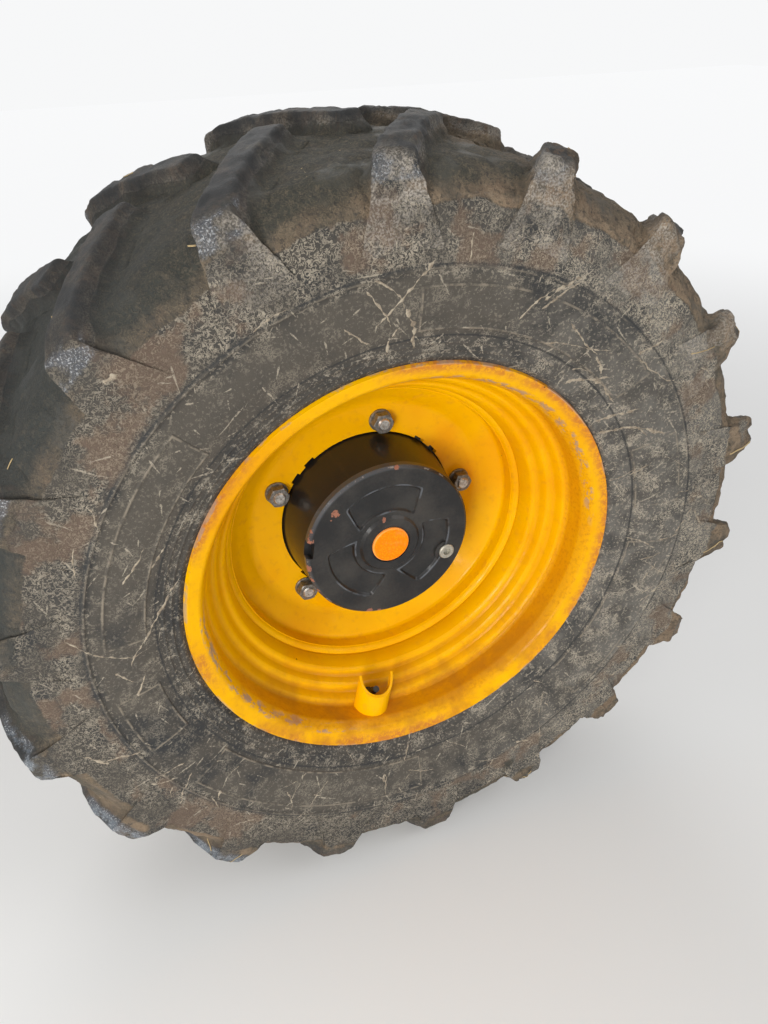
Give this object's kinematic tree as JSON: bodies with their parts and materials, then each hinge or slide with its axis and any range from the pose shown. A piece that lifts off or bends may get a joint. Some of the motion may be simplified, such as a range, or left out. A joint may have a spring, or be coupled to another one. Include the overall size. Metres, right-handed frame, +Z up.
{
  "type": "telehandler wheel with planetary hub",
  "caption": "Lugged pneumatic tyre on a stepped steel rim with a dished disc, bolted to a planetary hub that turns on a flanged spindle.",
  "frame": {"origin": "on the wheel's axis, on the inboard face of the spindle's flange, where the spindle bolts to the machine", "axes": "the wheel turns about Y; -Y is the outside of the machine, where the nuts and the hub cover are; +Z is up, with the tyre's lowest lugs towards -Z; X is fore and aft"},
  "size_m": [1.2, 0.42, 1.2],
  "materials": {
    "spindle_steel": "painted dark, dusty",
    "seal_rubber": "matt",
    "shaft_steel": "machined, oily",
    "hub_paint": "dark satin paint with chips at the edges",
    "plug_steel": "dull zinc",
    "reflector_plastic": "amber lens",
    "stud_steel": "machined ends",
    "nut_steel": "dark phosphate with worn edges",
    "wheel_paint": "semi-gloss yellow with rub marks",
    "valve_rubber": "matt",
    "tyre_rubber": "muddy, dusty"
  },
  "bodies": {
    "spindle": {"spindle": "spindle_steel", "spindle_seal": "seal_rubber"},
    "wheel": {"hub": "hub_paint", "hub_cover": "hub_paint", "drain_plug": "plug_steel", "reflector": "reflector_plastic", "wheel_studs": "stud_steel", "nut_collars": "nut_steel", "wheel_nuts": "nut_steel", "wheel_disc": "wheel_paint", "rim": "wheel_paint", "valve_guard": "wheel_paint", "valve_stem": "valve_rubber", "tyre": "tyre_rubber"},
    "shaft": {"drive_shaft": "shaft_steel"}
  },
  "joints": [
    {"name": "wheel_roll", "type": "hinge", "parent": "spindle", "child": "wheel", "pos_m": [0, -0.1, 0], "axis": [0, 1, 0], "continuous": true},
    {"name": "shaft_turn", "type": "hinge", "parent": "spindle", "child": "shaft", "pos_m": [0, -0.05, 0], "axis": [0, 1, 0], "continuous": true}
  ],
  "couplings": [
    {"joint": "shaft_turn", "follows": "wheel_roll", "ratio": 5}
  ]
}
